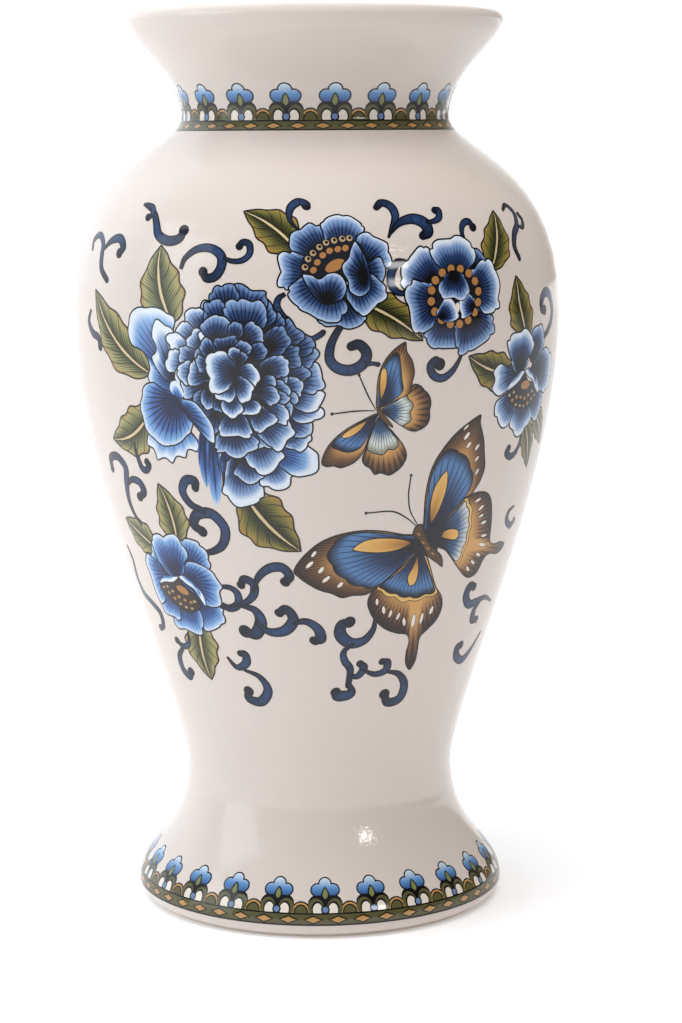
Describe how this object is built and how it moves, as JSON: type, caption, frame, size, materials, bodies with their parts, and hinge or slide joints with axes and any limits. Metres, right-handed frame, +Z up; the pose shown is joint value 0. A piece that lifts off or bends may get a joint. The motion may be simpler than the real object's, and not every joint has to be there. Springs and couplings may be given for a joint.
{
  "type": "decorated ceramic vase",
  "caption": "Baluster vase with flared mouth and spreading foot, cream crazed glaze, blue flower and butterfly sprays and two fan-and-lozenge borders.",
  "frame": {"origin": "centre of the standing ring, on the surface the vase stands on", "axes": "+Z up along the vase's axis; the front spray faces -Y and the back spray faces +Y"},
  "size_m": [0.191, 0.1912, 0.35],
  "materials": {
    "bare_clay": "bare fired clay",
    "cream_glaze": "glossy, finely crazed",
    "border_print": "glossy printed enamel",
    "flower_print": "glossy printed enamel",
    "butterfly_print": "glossy printed enamel",
    "leaf_print": "glossy printed enamel",
    "scroll_print": "glossy printed enamel"
  },
  "bodies": {
    "root": {"clay_body": "bare_clay", "outer_glaze": "cream_glaze", "inner_glaze": "cream_glaze", "base_glaze": "cream_glaze", "neck_border": "border_print", "foot_border": "border_print", "front_peony": "flower_print", "front_stamen_flower": "flower_print", "front_ring_flower": "flower_print", "front_bell_flower": "flower_print", "front_low_flower": "flower_print", "front_small_butterfly": "butterfly_print", "front_large_butterfly": "butterfly_print", "front_leaves": "leaf_print", "front_scrolls": "scroll_print", "back_peony": "flower_print", "back_stamen_flower": "flower_print", "back_ring_flower": "flower_print", "back_bell_flower": "flower_print", "back_low_flower": "flower_print", "back_small_butterfly": "butterfly_print", "back_large_butterfly": "butterfly_print", "back_leaves": "leaf_print", "back_scrolls": "scroll_print"}
  },
  "joints": []
}
